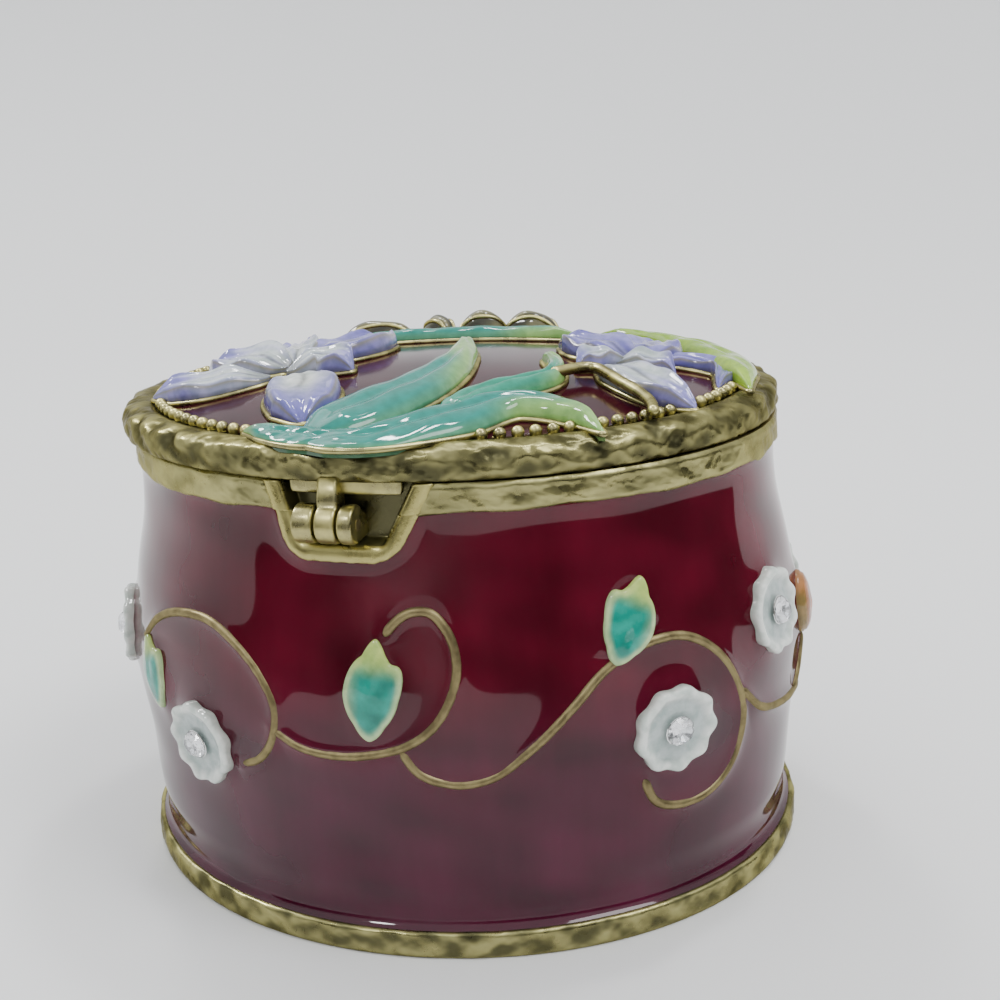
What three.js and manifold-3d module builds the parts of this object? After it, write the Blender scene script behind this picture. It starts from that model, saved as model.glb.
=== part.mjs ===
import * as THREE from 'three';
import { mergeVertices } from 'three/addons/utils/BufferGeometryUtils.js';
import Module from 'manifold-3d';

const kernel = await Module();
kernel.setup();

// Oval hinged trinket box, millimetres, +Z up. The hinge is on the -Y side.
// Bearings run around the wall from the hinge, positive toward +X.

// Plan and heights of the cup
const rimHalfLength = 30.5;
const rimHalfWidth = 27.4;
const partingHeight = 40.6;
const floorThickness = 2.5;
const wallThickness = 2.2;
const mouthInset = 2.0;
const ovalSides = 40;

// Outer wall: [spread beyond the rim oval, height], from the foot up to the rim band
const footProfile = [[2.0, 0], [2.0, 1.9], [1.7, 2.3]];
const wallProfile = [[0.86, 3.5], [1.2, 6.5], [1.6, 13], [2.15, 20.3], [1.3, 27.6], [0, 33.6],
  [-0.3, 37.7]];
const rimProfile = [[0.05, 38.1], [0.05, 40.2], [-0.3, 40.6]];

// Lid
const lidGap = 0.3;
const lidSlip = -0.5;
const rimTop = 43.4;
const domeInset = 3.8;
const domeRise = 2.4;
const lipDepth = 0.5;
const beadRadius = 0.6;
const beadPitch = 1.4;
const beadInset = 2.95;

// Hinge
const hingeY = -(rimHalfWidth + 0.6);
const hingeHeight = 37.5;
const knuckleRadius = 1.6;
const boreRadius = 0.75;
const pinRadius = 0.5;
const leftKnuckle = [-3.9, -2.1];
const lidKnuckle = [-1.9, -0.2];
const rightKnuckle = [0, 1.3];
const notchTopHalf = 5.6;
const notchFootLeft = 4.1;
const notchFootRight = 3.0;
const notchFoot = 35.6;
const notchDepth = 1.5;
const notchBorder = 1.5;
const borderProud = 0.4;
const apronHalf = 4.9;
const apronFoot = 39.7;

// Ornament on the wall
const wireRadius = 0.44;
const floretRadius = 3.8;
const floretLobes = 9;
const floretProud = 1.2;
const stoneRadius = 1.25;
const stoneGap = 0.15;

// One spray of vine covers half the wall. The second is the same, half a turn on.
// Points are [bearing in degrees, height].
const sprayTurns = [0, 180];
const vines = [
  [[-20, 15.8], [-16.1, 16.8], [-12.8, 19.3], [-12.3, 22], [-14.6, 24.3], [-24.6, 27.8],
    [-32.6, 27.8], [-41.2, 26.1], [-46.8, 23.4]],
  [[-12.8, 20], [-8.6, 18.8], [-2.2, 18.4], [7, 19.4], [11.5, 21], [14.5, 23.5], [15.7, 26.3],
    [14.5, 29], [12.1, 30.4], [9.2, 30.4], [5.4, 28.6]],
  [[7, 19.4], [9.6, 17.2], [14.5, 16.2], [19.5, 16.6], [25.4, 18.9], [31.4, 21.9], [37.5, 24.9],
    [43.2, 26.2], [50.6, 26.2], [57.2, 24], [61.3, 20.7], [63.2, 17.1], [61.6, 13.5],
    [56.8, 11.5], [50.3, 11.1], [45.5, 12], [42.9, 14.6]],
  [[62, 20], [68.7, 17], [76.2, 15.8], [85.6, 15], [96, 14.4], [107, 16.2], [112, 19]],
  [[85.6, 15], [91, 16.4], [93.5, 19.8]],
];
const florets = [[-66, 21.6], [-28.4, 16.7], [48, 18.6], [73.6, 25.2]];
// Leaves: [bearing, height, length, width, lean in degrees]
const wallLeaves = [[3.4, 24.1, 8.2, 4.7, -4], [41.6, 28.3, 7.2, 4.6, -28], [-42.4, 21, 6.6, 4.4, 24]];
const wallBuds = [[93.5, 22.4, 6, 4.4, 0]];

// Relief on the lid: axis points [x, y], half widths along the axis, height of the ridge
const lidLeaves = [
  { axis: [[-4.2, -25.3], [-2, -20.3], [0.1, -13.9], [1.5, -7.3], [1.7, -0.5], [0.2, 6.3]],
    half: [2.2, 3.4, 3.2, 2.4, 1.8, 0.5], ridge: 0.5 },
  { axis: [[-3.5, -27.2], [1.5, -26.2], [6.3, -21.8], [11.6, -16.7], [15.9, -17.4], [19.6, -21.4]],
    half: [1.2, 2.4, 2.6, 2, 1.7, 0.7], ridge: 0.35 },
  { axis: [[6.1, -21.2], [7.9, -15.8], [10.4, -12.5], [12.2, -9.5], [11.7, -5.3], [9.4, -1.4]],
    half: [1.2, 1.5, 1.3, 1.1, 1.2, 0.4], ridge: 0.4 },
  { axis: [[2, -26.8], [-4, -25.9], [-10, -24]], half: [1.2, 1.7, 0.4], ridge: 0.3 },
  { axis: [[9, 22], [19.4, 15.6], [26.2, 4.3], [28.8, -5]], half: [0.6, 1.9, 1.8, 0.5], ridge: 0.3 },
  { axis: [[-15, 12], [-6, 14.5], [2, 16], [9, 17.5]], half: [0.6, 1.9, 1.8, 0.6], ridge: 0.4 },
  { axis: [[12.2, -9.5], [15.1, -6.3], [18.4, -9.6], [21.7, -13.8], [22.6, -16.4]],
    half: [0.5, 0.5, 0.5, 0.5, 0.5], ridge: 0.2 },
];
const lidPetals = [
  { axis: [[17.5, 1], [13.5, 4], [9.2, 6]], half: [1, 3.2, 1.2], ridge: 0.7 },
  { axis: [[17.5, 1.5], [20, 5.5], [22, 9.5]], half: [1, 3.2, 1.2], ridge: 0.7 },
  { axis: [[17, 0.5], [21, -0.6], [24.8, -3.6]], half: [0.9, 2.4, 0.9], ridge: 0.6 },
  { axis: [[16.6, 0], [18.4, -6], [21.6, -11], [25, -13.2]], half: [0.9, 2.1, 2.2, 0.9], ridge: 0.6 },
  { axis: [[17.2, 0.6], [14.8, -1.6], [13.4, -4.4]], half: [0.9, 1.6, 0.6], ridge: 0.7 },
  { axis: [[-14, -7.5], [-20, -6.5], [-26, -4]], half: [1, 3.6, 1.4], ridge: 0.6 },
  { axis: [[-14.5, -9], [-19, -12], [-23, -14.2]], half: [0.9, 2.2, 0.9], ridge: 0.6 },
  { axis: [[-13.5, -5.5], [-16, 0], [-18.5, 6]], half: [0.9, 2.8, 1.2], ridge: 0.6 },
  { axis: [[-13, -5], [-10.8, 2.5], [-10, 9.5]], half: [0.9, 3.6, 1.5], ridge: 0.8 },
  { axis: [[-13, -7], [-9.8, -6], [-6.8, -6.8]], half: [0.8, 2, 0.8], ridge: 0.9 },
  { axis: [[-12, -10], [-8.2, -16.5], [-5.6, -22.8]], half: [1, 3.4, 1.5], ridge: 0.8 },
  { axis: [[-11, 20.2], [-15, 20], [-19, 18.3]], half: [1, 1.7, 0.9], ridge: 1.7 },
  { axis: [[-6.6, 20], [-8.6, 21.6], [-10.6, 22.6]], half: [0.9, 1.6, 0.9], ridge: 1.9 },
  { axis: [[-6, 20.8], [-3.4, 22], [-0.8, 22.8]], half: [0.9, 1.8, 1], ridge: 2.2 },
  { axis: [[-1, 21.4], [2, 22.3], [5.2, 21.5]], half: [1, 1.8, 0.9], ridge: 2.1 },
];

// Colours of the bare parts
const redEnamel = new THREE.MeshStandardMaterial({ color: 0x4a0a12, roughness: 0.15 });
const antiqueBrass = new THREE.MeshStandardMaterial({ color: 0x8f8350, roughness: 0.4, metalness: 1 });
const clearCrystal = new THREE.MeshStandardMaterial({ color: 0xdfe4ea, roughness: 0.05 });

const radians = THREE.MathUtils.degToRad;

// A solid from rings of points, each ring closed, with a fan over the first and the last
function ringSolid(rings) {
  const sides = rings[0].length;
  const positions = rings.flat().flatMap((point) => [point.x, point.y, point.z]);
  const first = averagePoint(rings[0]);
  const last = averagePoint(rings[rings.length - 1]);
  const firstIndex = rings.length * sides;
  positions.push(first.x, first.y, first.z, last.x, last.y, last.z);
  const faces = [];
  for (let side = 0; side < sides; side += 1) {
    const next = (side + 1) % sides;
    faces.push(firstIndex, next, side);
    for (let ring = 0; ring < rings.length - 1; ring += 1) {
      const low = ring * sides;
      const high = low + sides;
      faces.push(low + side, low + next, high + next, low + side, high + next, high + side);
    }
    const top = (rings.length - 1) * sides;
    faces.push(firstIndex + 1, top + side, top + next);
  }
  const geometry = new THREE.BufferGeometry();
  geometry.setAttribute('position', new THREE.Float32BufferAttribute(positions, 3));
  geometry.setIndex(faces);
  return geometry;
}

function averagePoint(points) {
  const sum = points.reduce((total, point) => total.add(point), new THREE.Vector3());
  return sum.divideScalar(points.length);
}

function toSolid(geometry) {
  const bare = new THREE.BufferGeometry();
  bare.setAttribute('position', geometry.getAttribute('position'));
  if (geometry.index) {
    bare.setIndex(geometry.index);
  }
  const welded = mergeVertices(bare, 1e-4);
  const mesh = new kernel.Mesh({
    numProp: 3,
    vertProperties: new Float32Array(welded.getAttribute('position').array),
    triVerts: new Uint32Array(welded.index.array),
  });
  mesh.merge();
  return new kernel.Manifold(mesh);
}

function toGeometry(solid) {
  const mesh = solid.getMesh();
  const geometry = new THREE.BufferGeometry();
  geometry.setAttribute('position', new THREE.Float32BufferAttribute(mesh.vertProperties, 3));
  geometry.setIndex(new THREE.Uint32BufferAttribute(mesh.triVerts, 1));
  return geometry;
}

function joinAll(geometries) {
  return kernel.Manifold.union(geometries.map(toSolid));
}

// An oval turned solid: each row is [half length, half width, height]
function ovalSolid(rows, sides = ovalSides) {
  const rings = rows.map(([halfLength, halfWidth, height]) => {
    const ring = [];
    for (let side = 0; side < sides; side += 1) {
      const angle = (side / sides) * Math.PI * 2;
      ring.push(new THREE.Vector3(halfLength * Math.cos(angle), halfWidth * Math.sin(angle), height));
    }
    return ring;
  });
  return ringSolid(rings);
}

function spreadRow([spread, height]) {
  return [rimHalfLength + spread, rimHalfWidth + spread, height];
}

const wallCurve = new THREE.SplineCurve(
  wallProfile.map(([spread, height]) => new THREE.Vector2(spread, height)));
const wallSamples = wallCurve.getPoints(60);

function wallSpread(height) {
  const above = Math.max(1, wallSamples.findIndex((sample) => sample.y >= height));
  const low = wallSamples[above - 1];
  const high = wallSamples[above];
  const share = (height - low.y) / (high.y - low.y);
  return low.x + (high.x - low.x) * share;
}

function wallPoint(bearing, height, lift = 0) {
  const spread = wallSpread(height) + lift;
  const angle = radians(bearing);
  return new THREE.Vector3(
    (rimHalfLength + spread) * Math.sin(angle), -(rimHalfWidth + spread) * Math.cos(angle), height);
}

// Directions on the wall at a point: around, up and outward
function wallFrame(bearing, height, lean = 0) {
  const origin = wallPoint(bearing, height);
  const around = wallPoint(bearing + 0.5, height).sub(wallPoint(bearing - 0.5, height)).normalize();
  const up = wallPoint(bearing, height + 0.2).sub(wallPoint(bearing, height - 0.2)).normalize();
  const outward = around.clone().cross(up).normalize();
  const turn = radians(lean);
  const side = around.clone().multiplyScalar(Math.cos(turn)).addScaledVector(up, Math.sin(turn));
  const rise = up.clone().multiplyScalar(Math.cos(turn)).addScaledVector(around, -Math.sin(turn));
  return { origin, side, rise, outward };
}

// A relief body on the wall from rings of [width scale, height above the wall] over an outline
function wallRelief(frame, outline, levels) {
  const rings = levels.map(([scale, lift]) => outline.map(([across, along]) => frame.origin.clone()
    .addScaledVector(frame.side, across * scale)
    .addScaledVector(frame.rise, along * scale)
    .addScaledVector(frame.outward, lift)));
  return ringSolid(rings);
}

// Scalloped round: the radius swells once for every lobe
function floretOutline() {
  const outline = [];
  const steps = floretLobes * 2;
  for (let step = 0; step < steps; step += 1) {
    const angle = (step / steps) * Math.PI * 2;
    const radius = floretRadius * (step % 2 === 0 ? 1 : 0.9);
    outline.push([radius * Math.cos(angle), radius * Math.sin(angle)]);
  }
  return outline;
}

// Pointed oval: widest a third of the way up, narrowing to the tip
function leafOutline(length, width) {
  const outline = [];
  const steps = 10;
  for (let step = 0; step < steps; step += 1) {
    const angle = (step / steps) * Math.PI * 2;
    const along = -Math.cos(angle);
    const taper = 1 - 0.35 * Math.max(0, along) ** 2;
    outline.push([0.5 * width * Math.sin(angle) * taper, 0.5 * length * along]);
  }
  return outline;
}

function floretBody(bearing, height) {
  const levels = [[0.85, -1], [1, 0.75], [0.9, floretProud], [0.42, 0.7]];
  return wallRelief(wallFrame(bearing, height), floretOutline(), levels);
}

function leafBody([bearing, height, length, width, lean]) {
  const levels = [[0.9, -0.8], [1, 0.4], [0.6, 1]];
  return wallRelief(wallFrame(bearing, height, lean), leafOutline(length, width), levels);
}

function budBody([bearing, height, length, width, lean]) {
  const levels = [[0.9, -0.8], [1, 0.6], [0.7, 1.5], [0.3, 1.9]];
  return wallRelief(wallFrame(bearing, height, lean), leafOutline(length, width), levels);
}

// A stone with a flat table over a bevelled girdle
function stoneBody(bearing, height) {
  const outline = [];
  for (let step = 0; step < 8; step += 1) {
    const angle = ((step + 0.5) / 8) * Math.PI * 2;
    outline.push([stoneRadius * Math.cos(angle), stoneRadius * Math.sin(angle)]);
  }
  const seat = 0.7 + stoneGap;
  const levels = [[0.7, seat], [1, seat + 0.35], [0.6, seat + 0.95]];
  return wallRelief(wallFrame(bearing, height), outline, levels);
}

function roundShape(radius, sides) {
  const corners = [];
  for (let side = 0; side < sides; side += 1) {
    const angle = (side / sides) * Math.PI * 2;
    corners.push(new THREE.Vector2(radius * Math.cos(angle), radius * Math.sin(angle)));
  }
  return new THREE.Shape(corners);
}

function vineWire(points, turn) {
  const path = new THREE.CatmullRomCurve3(
    points.map(([bearing, height]) => wallPoint(bearing + turn, height, 0.04)));
  const steps = Math.ceil(path.getLength() / 2.9);
  const section = roundShape(wireRadius, 4);
  return new THREE.ExtrudeGeometry(section, { steps, extrudePath: path, bevelEnabled: false });
}

// A round bar along X at the hinge line
function hingeBar(span, radius, sides) {
  const bar = new THREE.CylinderGeometry(radius, radius, span[1] - span[0], sides);
  bar.rotateZ(Math.PI / 2);
  bar.translate((span[0] + span[1]) / 2, hingeY, hingeHeight);
  return bar;
}

function block(xSpan, ySpan, zSpan) {
  const box = new THREE.BoxGeometry(xSpan[1] - xSpan[0], ySpan[1] - ySpan[0], zSpan[1] - zSpan[0]);
  box.translate((xSpan[0] + xSpan[1]) / 2, (ySpan[0] + ySpan[1]) / 2, (zSpan[0] + zSpan[1]) / 2);
  return box;
}

// Tapered notch shape grown by a margin, as a prism standing across the hinge wall
function notchPrism(margin, top) {
  const shape = new THREE.Shape();
  shape.moveTo(-notchTopHalf - margin, top);
  shape.lineTo(-notchFootLeft - margin, notchFoot - margin);
  shape.lineTo(notchFootRight + margin, notchFoot - margin);
  shape.lineTo(notchTopHalf + margin, top);
  const prism = new THREE.ExtrudeGeometry(shape, { depth: 12, bevelEnabled: false });
  prism.rotateX(Math.PI / 2);
  prism.translate(0, -rimHalfWidth + 6, 0);
  return toSolid(prism);
}

// The part of an oval ring wall between two spreads
function ovalShell(inner, outer, low, high) {
  const rows = [spreadRow([outer, low]), spreadRow([outer, high])];
  const hollow = [spreadRow([inner, low - 1]), spreadRow([inner, high + 1])];
  return toSolid(ovalSolid(rows)).subtract(toSolid(ovalSolid(hollow)));
}

function cupShell() {
  const wallRows = wallCurve.getPoints(7).map((point) => [point.x, point.y]);
  const outer = [...footProfile, ...wallRows, ...rimProfile].map(spreadRow);
  const innerHeights = [floorThickness, 6, 14, 21, 29];
  const cavity = innerHeights.map((height, index) => {
    const inset = index === 0 ? wallThickness + 2 : wallThickness;
    return [Math.min(wallSpread(Math.max(height, 3.6)) - inset, -mouthInset + 2.2), height];
  });
  cavity.push([-mouthInset, 38], [-mouthInset, partingHeight + 1]);
  return toSolid(ovalSolid(outer)).subtract(toSolid(ovalSolid(cavity.map(spreadRow))));
}

function bodyHinge() {
  const knuckles = [leftKnuckle, rightKnuckle].map((span) => {
    const ySpan = [hingeY, -rimHalfWidth + notchDepth + 0.3];
    const web = block(span, ySpan, [hingeHeight - 1.5, hingeHeight + 0.3]);
    return joinAll([hingeBar(span, knuckleRadius, 12), web]);
  });
  return kernel.Manifold.union(knuckles);
}

function boxBody() {
  const border = notchPrism(notchBorder, partingHeight - 0.4)
    .intersect(ovalShell(-1.5, borderProud, notchFoot - notchBorder - 1, partingHeight - 0.4));
  const recess = notchPrism(0, partingHeight + 0.2)
    .intersect(ovalShell(-notchDepth, 3, notchFoot, partingHeight + 1));
  const wires = sprayTurns.flatMap((turn) => vines.map((points) => vineWire(points, turn)));
  const reliefs = sprayTurns.flatMap((turn) => [
    ...florets.map(([bearing, height]) => floretBody(bearing + turn, height)),
    ...wallLeaves.map(([bearing, ...rest]) => leafBody([bearing + turn, ...rest])),
    ...wallBuds.map(([bearing, ...rest]) => budBody([bearing + turn, ...rest])),
  ]);
  const bore = toSolid(hingeBar([leftKnuckle[0] - 1, rightKnuckle[1] + 1], boreRadius, 10));
  const cup = cupShell().add(border).subtract(recess).add(bodyHinge()).subtract(bore);
  return kernel.Manifold.union([cup, ...wires.map(toSolid), ...reliefs.map(toSolid)]);
}

function domeHeight(x, y) {
  const lengthShare = (x - lidSlip) / (rimHalfLength - domeInset);
  const widthShare = y / (rimHalfWidth - domeInset);
  const share = Math.min(1, lengthShare ** 2 + widthShare ** 2);
  return rimTop + domeRise * (1 - share);
}

// Relief on the lid follows a slightly fuller dome that runs on over the rim
function reliefHeight(x, y) {
  const share = (x / (rimHalfLength - 2.5)) ** 2 + (y / (rimHalfWidth - 2.5)) ** 2;
  return 44.4 + 2.5 * (1 - Math.min(share, 1.25));
}

// A leaf or petal along an axis on the lid: ridge in the middle, low edges, buried underside
function lidBlade({ axis, half, ridge }) {
  const path = new THREE.CatmullRomCurve3(axis.map(([x, y]) => new THREE.Vector3(x, y, 0)));
  const steps = axis.length + 1;
  const rings = [];
  for (let step = 0; step <= steps; step += 1) {
    const share = step / steps;
    const centre = path.getPoint(share);
    const along = path.getTangent(share);
    const place = share * (half.length - 1);
    const low = Math.min(half.length - 2, Math.floor(place));
    const width = THREE.MathUtils.lerp(half[low], half[low + 1], place - low);
    const across = [[-1, 0], [1, 0], [1, 1], [0, 1], [-1, 1]];
    rings.push(across.map(([offset, top]) => {
      const x = centre.x + along.y * width * offset;
      const y = centre.y - along.x * width * offset;
      const ground = domeHeight(x, y);
      const crest = offset === 0 ? reliefHeight(x, y) + ridge : ground + 0.4;
      const height = top ? crest : ground - 0.7;
      return new THREE.Vector3(x, y, height);
    }).reverse());
  }
  return ringSolid(rings);
}

function lidShell() {
  const base = partingHeight + lidGap;
  const outer = [[-0.5, base], [0.15, base + 0.15], [0.5, base + 1], [0.3, base + 2], [-0.7, rimTop],
    [-2.2, rimTop + 0.1]];
  const dome = [1, 0.75, 0.45, 0.15].map((share) => [
    (rimHalfLength - domeInset) * share,
    (rimHalfWidth - domeInset) * share,
    rimTop + domeRise * (1 - share ** 2),
  ]);
  const solid = toSolid(ovalSolid([...outer.map(spreadRow), ...dome]));
  const lip = toSolid(ovalSolid([[-3.1, base - lidGap - lipDepth], [-2.9, base + 1]].map(spreadRow)));
  const hollowRows = [[1, -2], [1, 0.6], [0.8, 1.5], [0.4, 2.4], [0.1, 2.8]];
  const hollow = hollowRows.map(([share, height]) => [
    (rimHalfLength - 4.3) * share,
    (rimHalfWidth - 4.3) * share,
    base + height,
  ]);
  return solid.add(lip).subtract(toSolid(ovalSolid(hollow))).translate([lidSlip, 0, 0]);
}

function lidBeads() {
  const halfLength = rimHalfLength - beadInset;
  const halfWidth = rimHalfWidth - beadInset;
  const count = Math.round((Math.PI * (halfLength + halfWidth)) / beadPitch);
  const beads = [];
  for (let index = 0; index < count; index += 1) {
    const angle = (index / count) * Math.PI * 2;
    const bead = new THREE.OctahedronGeometry(beadRadius, 0);
    bead.translate(halfLength * Math.cos(angle) + lidSlip, halfWidth * Math.sin(angle), rimTop + 0.25);
    beads.push(toSolid(bead));
  }
  return kernel.Manifold.union(beads);
}

function lidHinge() {
  const apronTop = partingHeight + 1.5;
  const apronBlock = block([-apronHalf, apronHalf], [-rimHalfWidth - 3, 0], [apronFoot, apronTop]);
  const apron = toSolid(apronBlock).intersect(ovalShell(-1.0, 0.4, apronFoot, apronTop));
  const tongue = block(lidKnuckle, [hingeY - 0.3, -rimHalfWidth + 0.9], [hingeHeight, partingHeight + 1]);
  const barrel = joinAll([hingeBar(lidKnuckle, knuckleRadius, 12), tongue]);
  const bore = toSolid(hingeBar([lidKnuckle[0] - 1, lidKnuckle[1] + 1], boreRadius, 10));
  return apron.add(barrel).subtract(bore);
}

function lidBody() {
  const blades = [...lidLeaves, ...lidPetals].map((blade) => toSolid(lidBlade(blade)));
  return kernel.Manifold.union([lidShell(), lidBeads(), lidHinge(), ...blades]);
}

function namedMesh(name, geometry, material) {
  const mesh = new THREE.Mesh(geometry, material);
  mesh.name = name;
  return mesh;
}

const box = new THREE.Group();
box.name = 'cloisonne_enamel_box';
box.add(namedMesh('box_body', toGeometry(boxBody()), redEnamel));
box.add(namedMesh('lid', toGeometry(lidBody()), antiqueBrass));
box.add(namedMesh('hinge_pin', hingeBar([leftKnuckle[0], rightKnuckle[1]], pinRadius, 12), antiqueBrass));
sprayTurns.flatMap((turn) => florets.map(([bearing, height]) => [bearing + turn, height])).forEach(
  ([bearing, height], index) => {
    box.add(namedMesh(`crystal_${index + 1}`, stoneBody(bearing, height), clearCrystal));
  });

export default box;
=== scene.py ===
import math
import bmesh
import bpy
import numpy as np
from mathutils import Matrix, Vector


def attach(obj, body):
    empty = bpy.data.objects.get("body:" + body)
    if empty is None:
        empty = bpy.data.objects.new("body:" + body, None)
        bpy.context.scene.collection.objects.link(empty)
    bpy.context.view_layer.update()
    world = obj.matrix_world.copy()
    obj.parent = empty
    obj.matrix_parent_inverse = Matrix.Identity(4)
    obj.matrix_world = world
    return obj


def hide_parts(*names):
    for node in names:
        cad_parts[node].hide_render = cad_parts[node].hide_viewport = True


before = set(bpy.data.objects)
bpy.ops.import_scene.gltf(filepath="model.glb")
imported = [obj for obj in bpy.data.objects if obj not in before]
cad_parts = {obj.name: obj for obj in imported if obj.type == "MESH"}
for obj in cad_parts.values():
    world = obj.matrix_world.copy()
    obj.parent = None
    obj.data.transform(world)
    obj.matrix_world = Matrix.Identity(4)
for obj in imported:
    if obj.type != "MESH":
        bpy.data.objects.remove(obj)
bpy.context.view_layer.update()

mm = 0.001
shared = {"halfLength": 30.5, "halfWidth": 27.4, "parting": 40.6, "lidSlip": -0.5,
          "rimTop": 43.4, "domeInset": 3.8, "domeRise": 2.4}
sprayTurns = [0.0, 180.0]


# Blends: a share from 0 to 1 that eases in and out between low and high
def ease(value, low, high):
    share = np.clip((value - low) / (high - low), 0.0, 1.0)
    return share * share * (3.0 - 2.0 * share)


# Colour a goes to colour b by the share, point by point
def mixTint(a, b, share):
    return a + (np.asarray(b, float) - a) * np.asarray(share)[..., None]


# A cubic from a to b over a span, with the slopes at both ends; x goes from 0 to 1
def cubic(a, b, slopeA, slopeB, span, x):
    start = (2 * x**3 - 3 * x**2 + 1) * a + (x**3 - 2 * x**2 + x) * span * slopeA
    return start + (3 * x**2 - 2 * x**3) * b + (x**3 - x**2) * span * slopeB


# A smooth line through the points: each stretch is a cubic whose end slopes are the mean slopes there
def smoothPath(points, count):
    points = np.asarray(points, float)
    steps = np.linalg.norm(np.diff(points, axis=0), axis=1)
    place = np.concatenate([[0.0], np.cumsum(steps)])
    slope = np.gradient(points, place, axis=0)
    at = np.linspace(0.0, place[-1], count)
    low = np.clip(np.searchsorted(place, at, side="right") - 1, 0, len(points) - 2)
    span = (place[low + 1] - place[low])[:, None]
    x = ((at - place[low])[:, None]) / span
    return cubic(points[low], points[low + 1], slope[low], slope[low + 1], span, x)


# Uneven surface: many cosine waves with whole turns around, so that the ends meet
def ripple(turn, along, seed, turns, pitch, count=40):
    random = np.random.default_rng(seed)
    total = np.zeros(np.broadcast(turn, along).shape)
    for wave in range(count):
        around = random.integers(-turns, turns + 1)
        upward = random.normal(0.0, 1.0 / pitch)
        total += np.cos(around * turn + 6.283 * upward * along + random.uniform(0, 6.283))
    return total / np.sqrt(count / 2)


wall = {"spread": [1.58, 1.02, 0.86, 1.2, 1.6, 2.15, 1.3, 0.05, -0.38, -0.46],
        "height": [2.2, 2.7, 3.5, 6.5, 13.0, 20.3, 27.6, 33.6, 37.7, 38.4]}


# How far the wall stands out from the rim oval at a height: cubics through the profile points
def wallSpread(height):
    knots = np.array(wall["height"])
    values = np.array(wall["spread"])
    slope = np.gradient(values, knots)
    height = np.asarray(height, float)
    low = np.clip(np.searchsorted(knots, height, side="right") - 1, 0, len(knots) - 2)
    span = knots[low + 1] - knots[low]
    x = np.clip((height - knots[low]) / span, 0.0, 1.0)
    return cubic(values[low], values[low + 1], slope[low], slope[low + 1], span, x)


# A point on an oval that is spread beyond the rim oval, at a bearing from the hinge
def ovalPoint(turn, spread, height):
    x = (shared["halfLength"] + spread) * np.sin(turn)
    y = -(shared["halfWidth"] + spread) * np.cos(turn)
    return np.stack(np.broadcast_arrays(x, y, height), axis=-1)


# A point that stands off the wall by the lift
def wallPoint(turn, height, lift):
    return ovalPoint(turn, wallSpread(height) + lift, height)


# The lid's ground: a low dome inside the rim
def domeHeight(x, y):
    share = ((x - shared["lidSlip"]) / (shared["halfLength"] - shared["domeInset"])) ** 2
    share = share + (y / (shared["halfWidth"] - shared["domeInset"])) ** 2
    return shared["rimTop"] + shared["domeRise"] * (1 - np.minimum(share, 1.0))


reliefDome = {"inset": 2.5, "edgeHeight": 44.4, "rise": 2.5, "farthest": 1.25}


# The lid's relief follows a fuller dome that runs on over the rim
def reliefHeight(x, y):
    share = (x / (shared["halfLength"] - reliefDome["inset"])) ** 2
    share = share + (y / (shared["halfWidth"] - reliefDome["inset"])) ** 2
    return reliefDome["edgeHeight"] + reliefDome["rise"] * (1 - np.minimum(share, reliefDome["farthest"]))


# One object from several grids of points. A grid wraps when its last row or column meets the first.
# Faces are turned so that most of them look away from the heart point, or toward it when inward.
def addPiece(name, grids, material, body, heart=(0.0, 0.0, 20.0), inward=False, smooth=True):
    points, faces, tints, start = [], [], [], 0
    for grid in grids:
        spots = grid["points"]
        rows, columns = spots.shape[:2]
        index = np.arange(rows * columns).reshape(rows, columns)
        down = np.vstack([index, index[:1]]) if grid.get("wrapRows") else index
        across = np.hstack([down, down[:, :1]]) if grid.get("wrapColumns") else down
        quads = np.stack([across[:-1, :-1], across[:-1, 1:], across[1:, 1:], across[1:, :-1]], -1)
        quads = quads.reshape(-1, 4)
        flat = spots.reshape(-1, 3)
        if grid.get("keep") is not None:
            quads = quads[grid["keep"](flat[quads].mean(axis=1))]
        corner = flat[quads]
        normal = np.cross(corner[:, 2] - corner[:, 0], corner[:, 3] - corner[:, 1])
        outward = (normal * (corner.mean(axis=1) - np.array(grid.get("heart", heart)))).sum()
        if (outward < 0) != inward:
            quads = quads[:, ::-1]
        points.append(flat)
        faces.append(quads + start)
        tint = np.ones((rows * columns, 4))
        if grid.get("tint") is not None:
            tint[:, :3] = np.broadcast_to(grid["tint"], spots.shape[:2] + (3,)).reshape(-1, 3)
        tints.append(tint)
        start += rows * columns
    points = np.concatenate(points) * mm
    faces = np.concatenate(faces)
    mesh = bpy.data.meshes.new(name)
    mesh.vertices.add(len(points))
    mesh.vertices.foreach_set("co", points.astype(np.float32).ravel())
    mesh.loops.add(faces.size)
    mesh.loops.foreach_set("vertex_index", faces.astype(np.int32).ravel())
    mesh.polygons.add(len(faces))
    mesh.polygons.foreach_set("loop_start", (np.arange(len(faces)) * 4).astype(np.int32))
    mesh.update(calc_edges=True)
    mesh.polygons.foreach_set("use_smooth", np.full(len(faces), smooth))
    layer = mesh.attributes.new("tint", "FLOAT_COLOR", "POINT")
    layer.data.foreach_set("color", np.concatenate(tints).astype(np.float32).ravel())
    weld = bmesh.new()
    weld.from_mesh(mesh)
    bmesh.ops.remove_doubles(weld, verts=weld.verts, dist=2e-7)  # closes the poles
    weld.to_mesh(mesh)
    weld.free()
    piece = bpy.data.objects.new(name, mesh)
    bpy.context.scene.collection.objects.link(piece)
    mesh.materials.append(material)
    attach(piece, body)
    return piece


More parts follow.
